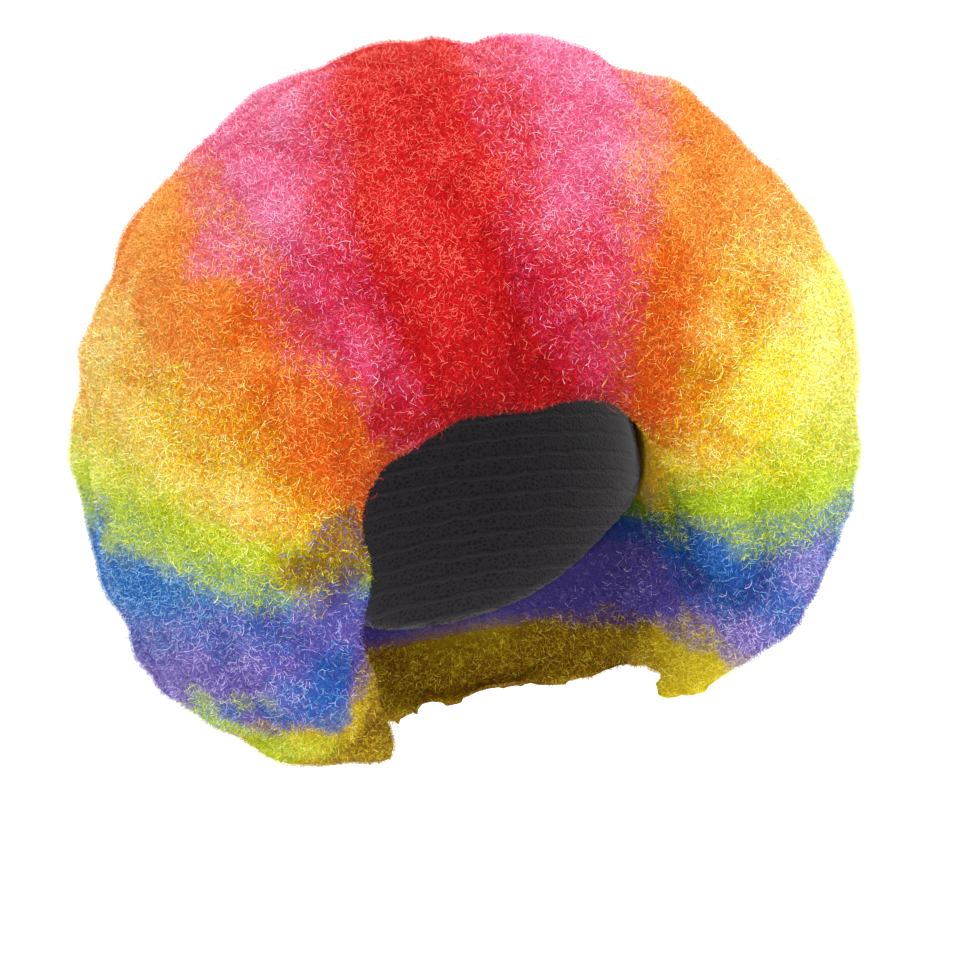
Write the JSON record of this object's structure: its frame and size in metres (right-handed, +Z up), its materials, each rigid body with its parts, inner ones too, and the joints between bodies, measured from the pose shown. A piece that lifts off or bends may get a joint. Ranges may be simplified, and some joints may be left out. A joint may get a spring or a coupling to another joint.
{
  "type": "afro wig",
  "caption": "Giant rainbow afro wig: a deep ball of frizzed hair in coloured bands on a stretch cap, open at the face and the neck, worn on the head.",
  "frame": {"origin": "where the top of the head meets the inside of the cap", "axes": "+Z up along the wearer's body, the face looks towards -Y, +X to the wearer's left"},
  "size_m": [0.3702, 0.3111, 0.3317],
  "materials": {
    "cap": "black stretch net",
    "hair_red": "fine frizzed fibre",
    "hair_pink": "fine frizzed fibre",
    "hair_orange": "fine frizzed fibre",
    "hair_yellow": "fine frizzed fibre",
    "hair_green": "fine frizzed fibre",
    "hair_blue": "fine frizzed fibre",
    "hair_purple": "fine frizzed fibre",
    "hair_gold": "fine frizzed fibre"
  },
  "bodies": {
    "root": {"cap": "cap", "hair_red": "hair_red", "hair_pink": "hair_pink", "hair_orange": "hair_orange", "hair_yellow": "hair_yellow", "hair_green": "hair_green", "hair_blue": "hair_blue", "hair_purple": "hair_purple", "hair_gold": "hair_gold"}
  },
  "joints": []
}
